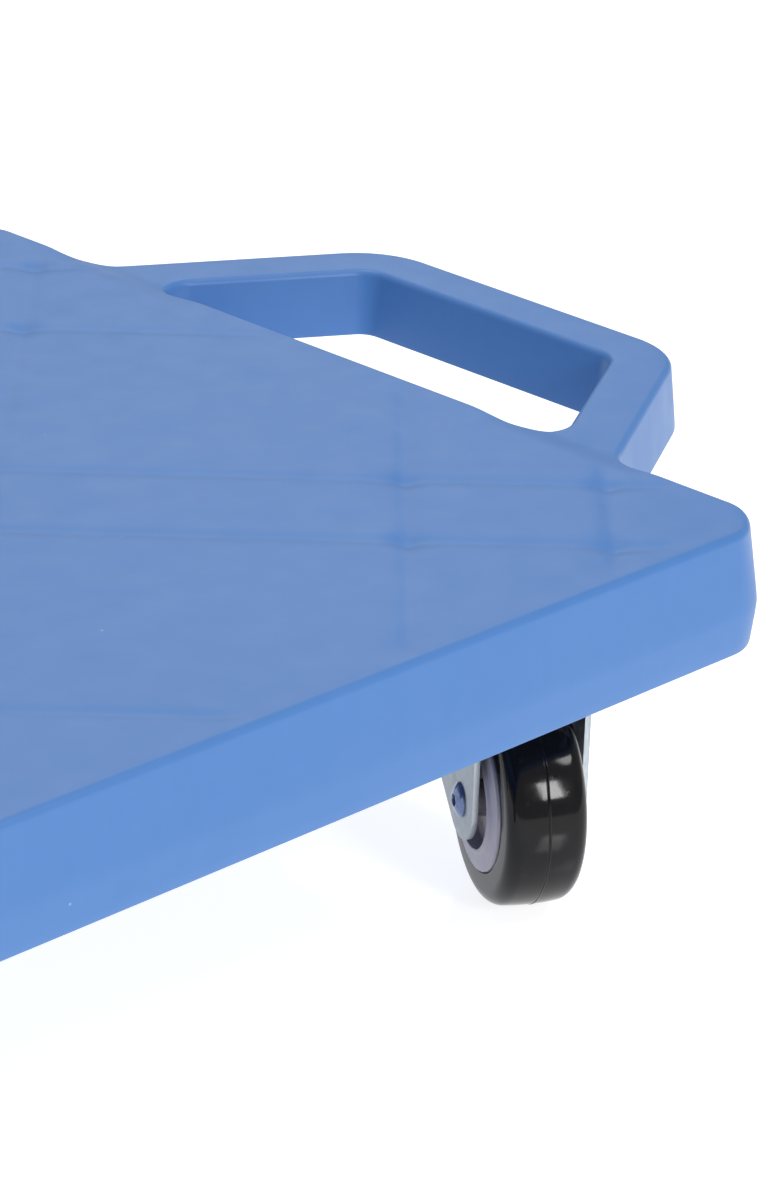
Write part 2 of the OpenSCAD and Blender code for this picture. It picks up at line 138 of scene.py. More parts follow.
class Paint:
    """One node material, built up by short calls."""

    def __init__(self, name, **constants):
        self.material = bpy.data.materials.new(name)
        self.material.use_nodes = True
        self.tree = self.material.node_tree
        self.tree.nodes.clear()
        self.shader = self.tree.nodes.new("ShaderNodeBsdfPrincipled")
        out = self.tree.nodes.new("ShaderNodeOutputMaterial")
        self.tree.links.new(self.shader.outputs[0], out.inputs["Surface"])
        for socket, value in constants.items():
            self.shader.inputs[socket.replace("_", " ")].default_value = value
        self.place = self.add("ShaderNodeTexCoord").outputs["Object"]

    def add(self, kind, **settings):
        """A new node of a kind, with its settings."""
        node = self.tree.nodes.new(kind)
        for name, value in settings.items():
            setattr(node, name, value)
        return node

    def feed(self, socket, value):
        """Gives a socket a number or a colour, or joins it to another node's output."""
        if isinstance(value, bpy.types.NodeSocket):
            self.tree.links.new(value, socket)
        else:
            socket.default_value = value

    def noise(self, size_mm, detail=3, roughness=0.5, stretch=(1, 1, 1)):
        """Noise from 0 to 1 whose blotches are about size_mm across."""
        mapping = self.add("ShaderNodeMapping")
        self.feed(mapping.inputs["Vector"], self.place)
        self.feed(mapping.inputs["Scale"], [s / (size_mm * MM) for s in stretch])
        node = self.add("ShaderNodeTexNoise")
        self.feed(node.inputs["Vector"], mapping.outputs[0])
        self.feed(node.inputs["Scale"], 1.0)
        self.feed(node.inputs["Detail"], detail)
        self.feed(node.inputs["Roughness"], roughness)
        return node.outputs["Fac"]

    def dots(self, pitch_mm, radius):
        """1 inside small round dots spread about pitch_mm apart, and 0 between them."""
        node = self.add("ShaderNodeTexVoronoi")
        self.feed(node.inputs["Vector"], self.place)
        self.feed(node.inputs["Scale"], 1 / (pitch_mm * MM))
        return self.span(node.outputs["Distance"], radius, radius * 0.4, 0, 1)

    def edges(self, low, high):
        """0 on flats, 1 on the sharpest edges."""
        return self.span(self.add("ShaderNodeNewGeometry").outputs["Pointiness"], low, high, 0, 1)

    def span(self, value, low, high, to_low, to_high):
        """Stretches the range from low to high over to_low to to_high, and holds it there."""
        node = self.add("ShaderNodeMapRange", clamp=True)
        self.feed(node.inputs["Value"], value)
        for name, number in (("From Min", low), ("From Max", high), ("To Min", to_low), ("To Max", to_high)):
            self.feed(node.inputs[name], number)
        return node.outputs["Result"]

    def maths(self, operation, first, second):
        """The result of one sum or product."""
        node = self.add("ShaderNodeMath", operation=operation)
        self.feed(node.inputs[0], first)
        self.feed(node.inputs[1], second)
        return node.outputs[0]

    def mix(self, amount, first, second, blend="MIX"):
        """Blends two colours, each a tuple or a node's output."""
        node = self.add("ShaderNodeMix", data_type="RGBA", blend_type=blend)
        self.feed(node.inputs["Factor"], amount)
        colours = [s for s in node.inputs if s.type == "RGBA"]
        for socket, value in zip(colours, (first, second)):
            self.feed(socket, value if isinstance(value, bpy.types.NodeSocket) else (*value, 1))
        return [s for s in node.outputs if s.type == "RGBA"][0]

    def bump(self, height, depth_mm, below=None):
        """Shades height as relief depth_mm deep, on top of another bump if one is given."""
        node = self.add("ShaderNodeBump")
        self.feed(node.inputs["Height"], height)
        self.feed(node.inputs["Distance"], depth_mm * MM)
        self.feed(node.inputs["Strength"], 1.0)
        if below is not None:
            self.feed(node.inputs["Normal"], below)
        return node.outputs[0]

    def finish(self, colour, roughness=None, normal=None):
        """Joins the results to the shader and returns the material."""
        self.feed(self.shader.inputs["Base Color"], colour)
        if roughness is not None:
            self.feed(self.shader.inputs["Roughness"], roughness)
        if normal is not None:
            self.feed(self.shader.inputs["Normal"], normal)
        return self.material


def floor_material():
    """A near-white glossy floor, slightly lit from within so that it stays pale."""
    paint = Paint("floor", Emission_Strength=0.85, Emission_Color=(1, 1, 1, 1), IOR=1.45)
    shade = paint.noise(900, 1)
    return paint.finish(
        paint.mix(shade, (0.46, 0.46, 0.46), (0.49, 0.49, 0.49)),
        paint.span(paint.noise(300, 2), 0, 1, 0.08, 0.11),
    )


def deck_plastic():
    """Blue polyethylene: a fine moulded grain, faint clouds of colour, specks, and paler edges that are
    partly scuffed and partly a painted highlight.
    """
    paint = Paint("deck_plastic", IOR=1.46)
    clouds = paint.mix(paint.noise(90, 3), (0.058, 0.187, 0.482), (0.072, 0.203, 0.505))
    streaks = paint.mix(paint.noise(7, 4, 0.6), (0.93, 0.95, 0.97), (1.05, 1.04, 1.03))
    colour = paint.mix(1.0, clouds, streaks, "MULTIPLY")
    pale = paint.dots(23, 0.02)
    dark = paint.dots(31, 0.018)
    colour = paint.mix(paint.maths("MULTIPLY", pale, 0.45), colour, (0.45, 0.58, 0.80))
    colour = paint.mix(paint.maths("MULTIPLY", dark, 0.35), colour, (0.03, 0.06, 0.16))
    # Edges painted paler: partly scuffed plastic, partly a painted highlight along the edge rounds.
    scuffed_and_highlit = paint.maths("MULTIPLY", paint.edges(0.52, 0.60), paint.noise(5, 4, 0.7))
    colour = paint.mix(paint.maths("MULTIPLY", scuffed_and_highlit, 0.35), colour, (0.20, 0.38, 0.68))
    roughness = paint.span(paint.noise(12, 4), 0.2, 0.8, 0.36, 0.46)
    grain = paint.bump(paint.noise(0.9, 3, 0.6), 0.010)
    waves = paint.bump(paint.noise(14, 2), 0.05, grain)
    return paint.finish(colour, roughness, waves)


def urethane():
    """Glossy black urethane with faint moulding ripples, fine pits, dust and scuffs."""
    paint = Paint("tread_urethane", IOR=1.33)
    colour = paint.mix(paint.noise(6, 4), (0.003, 0.003, 0.004), (0.008, 0.008, 0.009))
    scuffs = paint.span(paint.noise(3.5, 5, 0.7), 0.62, 0.76, 0, 1)
    colour = paint.mix(paint.maths("MULTIPLY", scuffs, 0.4), colour, (0.030, 0.030, 0.032))
    rough = paint.span(paint.noise(4, 4), 0.25, 0.75, 0.07, 0.13)
    roughness = paint.maths("ADD", rough, paint.maths("MULTIPLY", scuffs, 0.12))
    dust = paint.dots(0.9, 0.05)
    colour = paint.mix(paint.maths("MULTIPLY", dust, 0.25), colour, (0.10, 0.10, 0.11))
    ripple = paint.bump(paint.noise(1.6, 4, 0.6), 0.010)
    pits = paint.bump(paint.noise(0.45, 2, 0.6), 0.003, ripple)
    return paint.finish(colour, roughness, pits)


def hub_plastic():
    """Lavender-grey nylon with a matt, slightly mottled skin."""
    paint = Paint("hub_nylon", IOR=1.5)
    colour = paint.mix(paint.noise(5, 4), (0.31, 0.295, 0.36), (0.37, 0.355, 0.42))
    # A lighter colour on the sharpest edges.
    lighter_edges = paint.maths("MULTIPLY", paint.edges(0.53, 0.62), 0.4)
    colour = paint.mix(lighter_edges, colour, (0.55, 0.54, 0.62))
    roughness = paint.span(paint.noise(3, 3), 0.2, 0.8, 0.34, 0.48)
    return paint.finish(colour, roughness, paint.bump(paint.noise(0.6, 3), 0.006))


def zinc(name, dull, bright, roughness, spangle_mm, edge_highlight_gain, edge_highlight_colour):
    """Bright zinc plate over steel: a bluish passivated film with a soft spangle."""
    paint = Paint(name, Metallic=0.85)
    spangle = paint.noise(spangle_mm, 5, 0.6)
    colour = paint.mix(spangle, dull, bright)
    # The sharpest edges are painted brighter: a painted highlight along the rims and rings.
    painted_edge_highlight = paint.maths("MULTIPLY", paint.edges(0.52, 0.60), edge_highlight_gain)
    colour = paint.mix(painted_edge_highlight, colour, edge_highlight_colour)
    stain = paint.span(paint.noise(spangle_mm * 2.3, 4, 0.65), 0.62, 0.78, 0, 0.35)
    colour = paint.mix(stain, colour, (0.34, 0.36, 0.38))
    mottle = paint.span(paint.noise(spangle_mm * 0.7, 4), 0.2, 0.8, *roughness)
    return paint.finish(colour, mottle, paint.bump(paint.noise(0.8, 4, 0.6), 0.006))


def bearing_steel():
    """Ground bearing steel with a film of grease."""
    paint = Paint("bearing_steel", Metallic=0.8)
    colour = paint.mix(paint.noise(1.5, 4), (0.42, 0.42, 0.43), (0.60, 0.60, 0.61))
    film = paint.span(paint.noise(2.5, 3), 0.55, 0.7, 0, 0.5)
    colour = paint.mix(film, colour, (0.20, 0.17, 0.12))
    roughness = paint.span(paint.noise(1.0, 3), 0.2, 0.8, 0.26, 0.42)
    return paint.finish(colour, roughness, paint.bump(paint.noise(0.5, 3), 0.003))


# ---------------------------------------------------------------- mesh tools

class Skin:
    """Vertices, in millimetres, and faces of a mesh that is welded shut at the end."""

    def __init__(self):
        self.points = []
        self.faces = []

    def loop(self, points):
        """Adds points and returns their numbers."""
        first = len(self.points)
        self.points.extend(tuple(float(x) for x in p) for p in points)
        return list(range(first, len(self.points)))

    def row(self, contour, inset, height):
        """The contour moved inset millimetres into the solid, at a height."""
        inset = np.broadcast_to(inset, len(contour))[:, None]
        height = np.broadcast_to(height, len(contour))[:, None]
        return self.loop(np.hstack([contour[:, :2] - contour[:, 2:] * inset, height]))

    def bridge(self, low, high):
        """Quads between two closed loops with the same number of points."""
        for i in range(len(low)):
            j = (i + 1) % len(low)
            self.faces.append((low[i], low[j], high[j], high[i]))

    def bridge_rows(self, contour, rows):
        """Walls through a list of (inset, height). Returns the last row."""
        loops = [self.row(contour, inset, height) for inset, height in rows]
        for low, high in zip(loops, loops[1:]):
            self.bridge(low, high)
        return loops[-1]

    def zip_round(self, low, high):
        """Triangles between two loops round the Z axis that differ in their number of points."""

        def turn(i):
            """How far round the axis a point lies."""
            return math.atan2(self.points[i][1], self.points[i][0])

        low = sorted(low, key=turn)
        high = sorted(high, key=turn)
        i = j = 0
        while i < len(low) or j < len(high):
            a = low[i % len(low)]
            b = high[j % len(high)]
            next_a = low[(i + 1) % len(low)]
            next_b = high[(j + 1) % len(high)]
            turn_a = turn(next_a) + (2 * math.pi if i + 1 >= len(low) else 0)
            turn_b = turn(next_b) + (2 * math.pi if j + 1 >= len(high) else 0)
            if j >= len(high) or (i < len(low) and turn_a <= turn_b):
                self.faces.append((a, next_a, b))
                i += 1
            else:
                self.faces.append((a, next_b, b))
                j += 1

    def to_object(self, name, body, slot, material, sharp_deg=35, weld_mm=0.002):
        """Welds the skin and turns it into a piece of the scene."""
        mesh = bpy.data.meshes.new(name)
        mesh.from_pydata([[x * MM for x in p] for p in self.points], [], self.faces)
        bm = bmesh.new()
        bm.from_mesh(mesh)
        bmesh.ops.remove_doubles(bm, verts=bm.verts, dist=weld_mm * MM)
        bmesh.ops.recalc_face_normals(bm, faces=bm.faces)
        bm.to_mesh(mesh)
        bm.free()
        return add_piece(name, mesh, body, slot, material, sharp_deg)


def add_piece(name, mesh, body, slot, material, sharp_deg):
    """A smooth-shaded object that rides on a body, with creases sharper than sharp_deg kept."""
    mesh.shade_smooth()
    mesh.set_sharp_from_angle(angle=math.radians(sharp_deg))
    mesh.materials.clear()
    mesh.materials.append(material)
    piece = bpy.data.objects.new(name, mesh)
    bpy.context.scene.collection.objects.link(piece)
    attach(piece, body)
    return piece


def line(start, end, step=2.5):
    """Points from start up to but not at end, each with the normal on the right of the run."""
    start = np.array(start, float)
    run = np.array(end, float) - start
    length = math.hypot(*run)
    count = max(1, math.ceil(length / step))
    normal = (run[1] / length, -run[0] / length)
    return [[*(start + run * i / count), *normal] for i in range(count)]


def arc(centre, radius, first, last, step=5):
    """Points along an arc in degrees, each with the normal on the right of the run."""
    count = max(2, math.ceil(abs(last - first) / step))
    side = 1 if last > first else -1
    points = []
    for i in range(count):
        a = math.radians(first + (last - first) * i / count)
        c, s = math.cos(a), math.sin(a)
        points.append([centre[0] + radius * c, centre[1] + radius * s, side * c, side * s])
    return points


def smooth(x):
    """An even rise from 0 to 1 as x goes from 0 to 1, level at both ends."""
    x = np.clip(x, 0, 1)
    return x * x * (3 - 2 * x)


def area(outline):
    """Area inside an outline, above 0 if it runs anticlockwise."""
    points = [tuple(p[:2]) for p in outline]
    return 0.5 * sum(p[0] * q[1] - q[0] * p[1] for p, q in zip(points, points[1:] + points[:1]))


def triangulate(loops, inside=()):
    """Splits flat loops into triangles. Returns points, triangles and the loops each one lies in."""
    points = [Vector(p[:2]) for loop in loops for p in loop]
    points += [Vector(p) for p in inside]
    faces = []
    first = 0
    for loop in loops:
        around = list(range(first, first + len(loop)))
        faces.append(around if area(loop) > 0 else around[::-1])
        first += len(loop)
    out = delaunay_2d_cdt(points, [], faces, 1, 1e-5, True)
    return [tuple(p) for p in out[0]], out[2], out[5]


# ---------------------------------------------------------------- deck outlines, in millimetres

DECK_LOW, DECK_HIGH = (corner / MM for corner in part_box("deck"))
HALF_W = DECK_HIGH.y
REACH_X = DECK_HIGH.x
DECK_TOP = DECK_HIGH.z
SKIRT_Z = DECK_LOW.z
DECK_R = 17
ARC_AT = HALF_W - DECK_R
PARTING_Z = DECK_TOP - 21
CEILING_Z = DECK_TOP - 4.5
SEAT_Z = SKIRT_Z + 2.9
SKIRT_TAPER = 1.3
SKIRT_T = 4
# The walls above the parting line go in this much for each millimetre up.
DRAFT = 0.1
EDGE_R = 1.9
# The top edge is drawn in this much more at the middle of each round corner.
CORNER_PULL = 1.0

# The handles' top lies this much below the deck's, and both handles lie behind the middle.
HANDLE_DROP = 2.5
HANDLE_SHIFT = 3.7
HANDLE_W = 20.4
BEND_R = 26.9
BEND_IN_R = BEND_R - HANDLE_W
BEND_AT = (REACH_X - BEND_R, 41)
LEG_TURN = 60
LEAN = (math.cos(math.radians(LEG_TURN)), math.sin(math.radians(LEG_TURN)))
BEND_LINE = LEAN[0] * BEND_AT[0] + LEAN[1] * BEND_AT[1]
ROOT_R = 18.1
HOLE_R = 8.1


def fillet_centre(line_at, radius, side):
    """Centre of the round between the deck's side and a leg. side is 1 outside the leg, -1 inside."""
    x = HALF_W + radius
    return (x, (line_at + side * radius - LEAN[0] * x) / LEAN[1])


ROOT_AT = fillet_centre(BEND_LINE + BEND_R, ROOT_R, 1)
HOLE_AT = fillet_centre(BEND_LINE + BEND_IN_R, HOLE_R, -1)


def flip_y(point):
    """The point mirrored from the rear to the front."""
    return (point[0], -point[1])


def on_leg(centre, radius):
    """The point of a round where the handle's straight leg touches it."""
    return (centre[0] + LEAN[0] * radius, centre[1] + LEAN[1] * radius)


def half_turn(contour):
    """The contour and its normals turned half round the middle of the board."""
    return [[-a for a in p] for p in contour]


def along_side(contour, shift):
    """The contour moved along the deck's side."""
    return [[p[0], p[1] + shift, p[2], p[3]] for p in contour]


def side_runs(shift):
    """The deck's right side, cut where a handle moved along it starts and ends."""
    foot, root = HOLE_AT[1], ROOT_AT[1]
    cuts = [-ARC_AT, shift - root, shift - foot, shift + foot, shift + root, ARC_AT]
    return [line((HALF_W, first), (HALF_W, last)) for first, last in zip(cuts, cuts[1:])]


def handle_outside(shift):
    """From the deck's side round the outside of the right handle and back to the deck's side."""
    leg_foot = on_leg(ROOT_AT, -ROOT_R)
    leg_head = on_leg(BEND_AT, BEND_R)
    return along_side(
        arc(flip_y(ROOT_AT), ROOT_R, 180, 120)
        + line(flip_y(leg_foot), flip_y(leg_head))
        + arc(flip_y(BEND_AT), BEND_R, -60, 0)
        + line((REACH_X, -BEND_AT[1]), (REACH_X, BEND_AT[1]))
        + arc(BEND_AT, BEND_R, 0, 60)
        + line(leg_head, leg_foot)
        + arc(ROOT_AT, ROOT_R, 240, 180),
        shift,
    )


def handle_inside(shift):
    """From the deck's side round the inside of the right handle and back to the deck's side."""
    leg_foot = on_leg(HOLE_AT, HOLE_R)
    leg_head = on_leg(BEND_AT, BEND_IN_R)
    bar_x = BEND_AT[0] + BEND_IN_R
    return along_side(
        arc(HOLE_AT, HOLE_R, 180, 60)
        + line(leg_foot, leg_head)
        + arc(BEND_AT, BEND_IN_R, 60, 0)
        + line((bar_x, BEND_AT[1]), (bar_x, -BEND_AT[1]))
        + arc(flip_y(BEND_AT), BEND_IN_R, 0, -60)
        + line(flip_y(leg_head), flip_y(leg_foot))
        + arc(flip_y(HOLE_AT), HOLE_R, -60, -180),
        shift,
    )


def right_half(side_points):
    """The right half of an outline round the board, with the given points along its side."""
    return (
        line((0, -HALF_W), (ARC_AT, -HALF_W))
        + arc((ARC_AT, -ARC_AT), DECK_R, -90, 0)
        + side_points
        + arc((ARC_AT, ARC_AT), DECK_R, 0, 90)
        + line((ARC_AT, HALF_W), (0, HALF_W))
    )


def board_outline(shift):
    """The right half of the outline round the board and its handle."""
    low_side, _, _, _, high_side = side_runs(shift)
    return right_half(low_side + handle_outside(shift) + high_side)


def square_outline(shift):
    """The right half of the outline round the board without its handle."""
    return right_half(sum(side_runs(shift), []))


def hand_hole(shift):
    """The outline of the right handle's opening, clockwise so that its normals face into it."""
    return side_runs(shift)[2] + handle_inside(shift)


def both_halves(right_of):
    """A whole outline. The left handle is the right one turned half round, so it is built shifted back."""
    return np.array(right_of(HANDLE_SHIFT) + half_turn(right_of(-HANDLE_SHIFT)))


# ---------------------------------------------------------------- deck surface, in millimetres

RIB_T = 3
SCREW_DX = 25
SCREW_DY = 19.6
BOSS_R = 5.5
SCREW_R = 2.4
PILOT_DEPTH = 18
KINGPIN_DIAGONAL = 146.58
RIB_LINES = (SCREW_DY, KINGPIN_DIAGONAL - SCREW_DX, KINGPIN_DIAGONAL + SCREW_DX)
BOSSES = [
    (sign * (KINGPIN_DIAGONAL + end * SCREW_DX), side * SCREW_DY)
    for sign in (1, -1) for end in (1, -1) for side in (1, -1)
]
BOSSES += [(v, u) for u, v in BOSSES]
ROOT_HALF = math.sqrt(0.5)
SINK_DEPTH = 0.48
SINK_HALF_W = 2.0
DIMPLE_DEPTH = 0.85
DIMPLE_R = 4.6
BORDER_DEPTH = 0.10
WAVE_H = 0.06


def top_height(x, y):
    """Height of the top: level deck, lower handles, and shallow sink marks over ribs and bosses."""
    x = np.asarray(x, float)
    y = np.asarray(y, float)
    along = np.abs(x)
    # The top dips to a handle over a short slope, which starts sooner where a leg meets the deck.
    off_middle = np.abs(y - HANDLE_SHIFT)
    legs = smooth((off_middle - 50) / 15) * smooth((116 - off_middle) / 14)
    open_to = 1 - (1 - legs) * (1 - smooth((along - 149) / 7))
    step = smooth((along - 143) / 14) * open_to
    height = DECK_TOP - HANDLE_DROP * step
    # The marks run along the diagonals u and v, and fade out towards the deck's edges.
    u = (x + y) * ROOT_HALF
    v = (y - x) * ROOT_HALF
    inner = HALF_W - np.maximum(along, np.abs(y))
    on_deck = smooth((inner - 3) / 9)
    for at in RIB_LINES:
        for across in (u, v):
            height = height - SINK_DEPTH * on_deck * np.exp(-((np.abs(across) - at) / SINK_HALF_W) ** 2)
    for boss_u, boss_v in BOSSES:
        away = (u - boss_u) ** 2 + (v - boss_v) ** 2
        height = height - DIMPLE_DEPTH * on_deck * np.exp(-away / DIMPLE_R ** 2)
    height = height - BORDER_DEPTH * np.exp(-((inner - 9) / 4.5) ** 2)
    waves = np.sin(x / 31 + 1.1) * np.sin(y / 27 + 0.4) + np.sin(u / 19 + 2.0) * 0.5
    # waves never falls below -1.5, so the deck stays at or below its full height.
    return height - WAVE_H * (1.5 + waves) * on_deck


def wall_inset(above):
    """How far the walls stand back at a height above, or below, the parting line."""
    lean = SKIRT_TAPER / (PARTING_Z - SKIRT_Z)
    # The turn from one slope to the other is spread over about this height.
    soft = 1.5
    rise = math.sqrt(above * above + soft * soft) - soft
    return (DRAFT - lean) / 2 * above + (DRAFT + lean) / 2 * rise


def raise_walls(skin, contour):
    """Upper walls with draft, rolling over the parting line, and the rounded top edge."""
    wall_h = DECK_TOP - PARTING_Z - EDGE_R
    at_corner = (np.abs(contour[:, 0]) > ARC_AT) & (np.abs(contour[:, 1]) > ARC_AT)
    pull_in = CORNER_PULL * np.where(at_corner, np.abs(2 * contour[:, 2] * contour[:, 3]) ** 1.5, 0)
    tip_inset = wall_inset(wall_h) + EDGE_R + pull_in
    tip = contour[:, :2] - contour[:, 2:] * tip_inset[:, None]
    top = top_height(tip[:, 0], tip[:, 1])
    rows = []
    wall_steps = 12
    for k in range(wall_steps + 1):
        share = (k / wall_steps) ** 1.6
        inset = wall_inset(wall_h * share) + pull_in * share
        rows.append((inset, PARTING_Z + (top - EDGE_R - PARTING_Z) * share))
    round_steps = 7
    for k in range(1, round_steps + 1):
        a = math.pi / 2 * k / round_steps
        inset = wall_inset(wall_h) + pull_in + EDGE_R * (1 - math.cos(a))
        rows.append((inset, top - EDGE_R * (1 - math.sin(a))))
    return skin.bridge_rows(contour, rows)


# Rows of a triangular grid lie this share of its pitch apart.
ROW_SHARE = 0.866


def grid_inside(keep_clear, pitch):
    """A triangular grid over the top that stays clear of the given border points."""
    tree = KDTree(len(keep_clear))
    for i, (x, y) in enumerate(keep_clear):
        tree.insert((x, y, 0), i)
    tree.balance()
    rows = int(2 * HALF_W / (pitch * ROW_SHARE)) + 1
    columns = int(2 * REACH_X / pitch) + 1
    for j in range(rows):
        for i in range(columns):
            x = -REACH_X + (i + 0.5 * (j % 2)) * pitch
            y = -HALF_W + j * pitch * ROW_SHARE
            if tree.find((x, y, 0))[2] > pitch * 0.75:
                yield (x, y)


def cover_top(skin, borders):
    """The top surface between the rounded edges of the board and of the hand holes."""
    loops = [[skin.points[i] for i in border] for border in borders]
    clear = [p[:2] for loop in loops for p in loop]
    pitch = 2.1
    points, triangles, within = triangulate(loops, grid_inside(clear, pitch))
    heights = top_height([p[0] for p in points], [p[1] for p in points])
    ids = skin.loop([(*p, z) for p, z in zip(points, heights)])
    # Loop 0 is the board's edge, and loops 1 and 2 are the hand holes.
    for corners, inside in zip(triangles, within):
        if 0 in inside and 1 not in inside and 2 not in inside:
            skin.faces.append([ids[i] for i in corners])


# ---------------------------------------------------------------- deck underside, in millimetres

CHANNEL_WALL = 3.5
# The channel ends this far outside the deck's side.
CHANNEL_END = 5
CHANNEL_TOP = DECK_TOP - HANDLE_DROP - 4
CROSS_RIB_Z = PARTING_Z + 4.5
CROSS_RIBS = (-26, 0, 26)
CROSS_RIB_HALF = 1.25


def bar_line(x, upward):
    """One side of the channel along the bar, broken where each cross rib meets it."""
    breaks = [-BEND_AT[1]]
    for rib in CROSS_RIBS:
        breaks += [rib - CROSS_RIB_HALF, rib + CROSS_RIB_HALF]
    breaks.append(BEND_AT[1])
    if not upward:
        breaks.reverse()
    points = []
    for first, last in zip(breaks, breaks[1:]):
        points += line((x, first), (x, last), step=8)
    return points


def channel_outline(shift):
    """The channel under the right handle: along the bar, round each bend and down each leg."""
    outer_r = BEND_R - CHANNEL_WALL
    inner_r = BEND_IN_R + CHANNEL_WALL
    end_r = (outer_r - inner_r) / 2
    middle = BEND_LINE + (outer_r + inner_r) / 2
    end_x = HALF_W + CHANNEL_END + end_r
    end_at = (end_x, (middle - LEAN[0] * end_x) / LEAN[1])
    return np.array(along_side(
        line(flip_y(on_leg(end_at, end_r)), flip_y(on_leg(BEND_AT, outer_r)))
        + arc(flip_y(BEND_AT), outer_r, -60, 0)
        + bar_line(BEND_AT[0] + outer_r, True)
        + arc(BEND_AT, outer_r, 0, 60)
        + line(on_leg(BEND_AT, outer_r), on_leg(end_at, end_r))
        + arc(end_at, end_r, 60, 240, step=15)
        + line(on_leg(end_at, -end_r), on_leg(BEND_AT, inner_r))
        + arc(BEND_AT, inner_r, 60, 0)
        + bar_line(BEND_AT[0] + inner_r, False)
        + arc(flip_y(BEND_AT), inner_r, 0, -60)
        + line(flip_y(on_leg(BEND_AT, inner_r)), flip_y(on_leg(end_at, -end_r)))
        + arc(flip_y(end_at), end_r, -240, -60, step=15),
        shift,
    ))


def handle_floor(skin, turn):
    """Underside of one handle: a flat rim at the parting plane and a ribbed channel."""
    spin = -1 if turn else 1
    shift = spin * HANDLE_SHIFT
    _, low_root, _, high_root, _ = side_runs(shift)
    rim = (
        handle_outside(shift)
        + [[HALF_W, shift + ROOT_AT[1], 1, 0]]
        + high_root[::-1]
        + handle_inside(shift)[1:]
        + [[HALF_W, shift - HOLE_AT[1], 1, 0]]
        + low_root[:0:-1]
    )
    channel = channel_outline(shift)
    rim = [(spin * p[0], spin * p[1]) for p in rim]
    channel = channel * spin
    points, triangles, within = triangulate([rim, channel])
    ids = skin.loop([(*p, PARTING_Z) for p in points])
    for corners, inside in zip(triangles, within):
        if 0 in inside and 1 not in inside:
            skin.faces.append([ids[i] for i in corners])
    mouth = skin.row(channel, 0, PARTING_Z)
    rib_row = skin.row(channel, 0.5, CROSS_RIB_Z)
    roof = skin.row(channel, 1.5, CHANNEL_TOP)
    skin.bridge(mouth, rib_row)

    def crossing(y, outer):
        """Index of the point on the channel's outer or inner side at a distance along the bar."""
        found = [i for i, p in enumerate(channel)
                 if abs(spin * p[1] - shift - y) < 1e-6 and (spin * p[2] > 0.5) == outer and abs(p[3]) < 0.1]
        return found[0]

    def pocket(indices):
        """Walls and roof of the channel between two cross ribs or beyond the last one."""
        skin.bridge([rib_row[i] for i in indices], [roof[i] for i in indices])
        skin.faces.append([roof[i] for i in indices])

    def stretch(first, last):
        """Indices of the outline from first round to last."""
        last = last if last >= first else last + len(channel)
        return [i % len(channel) for i in range(first, last + 1)]

    edges = [(rib - CROSS_RIB_HALF, rib + CROSS_RIB_HALF) for rib in CROSS_RIBS]
    pocket(stretch(crossing(edges[-1][1], True), crossing(edges[-1][1], False)))
    pocket(stretch(crossing(edges[0][0], False), crossing(edges[0][0], True)))
    for (_, low), (high, _) in zip(edges, edges[1:]):
        out = stretch(crossing(low, True), crossing(high, True))
        back = stretch(crossing(high, False), crossing(low, False))
        pocket(out + back)
    for low, high in edges:
        out = stretch(crossing(low, True), crossing(high, True))
        back = stretch(crossing(high, False), crossing(low, False))
        skin.faces.append([rib_row[i] for i in out + back])


def pocket_outline(bands, corner_bosses):
    """A pocket between ribs, in rib coordinates. Each corner is a small round, or goes round a boss."""
    (u0, u1), (v0, v1) = bands
    half = RIB_T / 2
    fillet = 1.5
    outline = []
    corners = [(u0, v0, 1, 1), (u1, v0, -1, 1), (u1, v1, -1, -1), (u0, v1, 1, -1)]
    for k, (u, v, into_u, into_v) in enumerate(corners):
        if (round(u, 1), round(v, 1)) in corner_bosses:
            slack = math.degrees(math.asin(half / BOSS_R))
            outline += arc((u, v), BOSS_R, 90 - slack + 90 * k, slack + 90 * k, step=12)
            end = math.radians(slack + 90 * k)
            outline.append([u + BOSS_R * math.cos(end), v + BOSS_R * math.sin(end)])
        else:
            centre = (u + into_u * (half + fillet), v + into_v * (half + fillet))
            outline += arc(centre, fillet, 180 + 90 * k, 270 + 90 * k, step=30)
            end = math.radians(270 + 90 * k)
            outline.append([centre[0] + fillet * math.cos(end), centre[1] + fillet * math.sin(end)])
    return [(p[0], p[1]) for p in outline]


def clip(outline, fence):
    """The part of an outline inside a convex fence that runs anticlockwise."""
    for (ax, ay), (bx, by) in zip(fence, fence[1:] + fence[:1]):
        def side(p):
            """Above 0 on the left of the fence's present edge."""
            return (bx - ax) * (p[1] - ay) - (by - ay) * (p[0] - ax)
        kept = []
        for p, q in zip(outline, outline[1:] + outline[:1]):
            sp, sq = side(p), side(q)
            if sp >= 0:
                kept.append(p)
            if (sp > 0 > sq) or (sp < 0 < sq):
                share = sp / (sp - sq)
                kept.append((p[0] + (q[0] - p[0]) * share, p[1] + (q[1] - p[1]) * share))
        outline = kept
        if len(outline) < 3:
            return []
    return outline


def turn_45(p):
    """From rib coordinates to the board's own."""
    return ((p[0] - p[1]) * ROOT_HALF, (p[0] + p[1]) * ROOT_HALF)


def rib_pockets(fence):
    """Outlines of the pockets between the ribs, with the height of each pocket's ceiling."""
    # Beyond this distance from the middle a diagonal has left the square.
    reach = 1.45 * HALF_W
    lines = sorted([-reach, reach, *RIB_LINES, *(-at for at in RIB_LINES)])
    bosses = {(round(u, 1), round(v, 1)) for u, v in BOSSES}
    # Slivers of less than this area, in square millimetres, stay solid.
    smallest = 30
    pockets = []
    for u_band in zip(lines, lines[1:]):
        for v_band in zip(lines, lines[1:]):
            outline = clip([turn_45(p) for p in pocket_outline((u_band, v_band), bosses)], fence)
            if outline and area(outline) > smallest:
                pockets.append((outline, CEILING_Z))
    for boss in BOSSES:
        x, y = turn_45(boss)
        hole = [tuple(p[:2]) for p in arc((x, y), SCREW_R, 0, 360, step=20)]
        pockets.append((hole, SEAT_Z + PILOT_DEPTH))
    return pockets


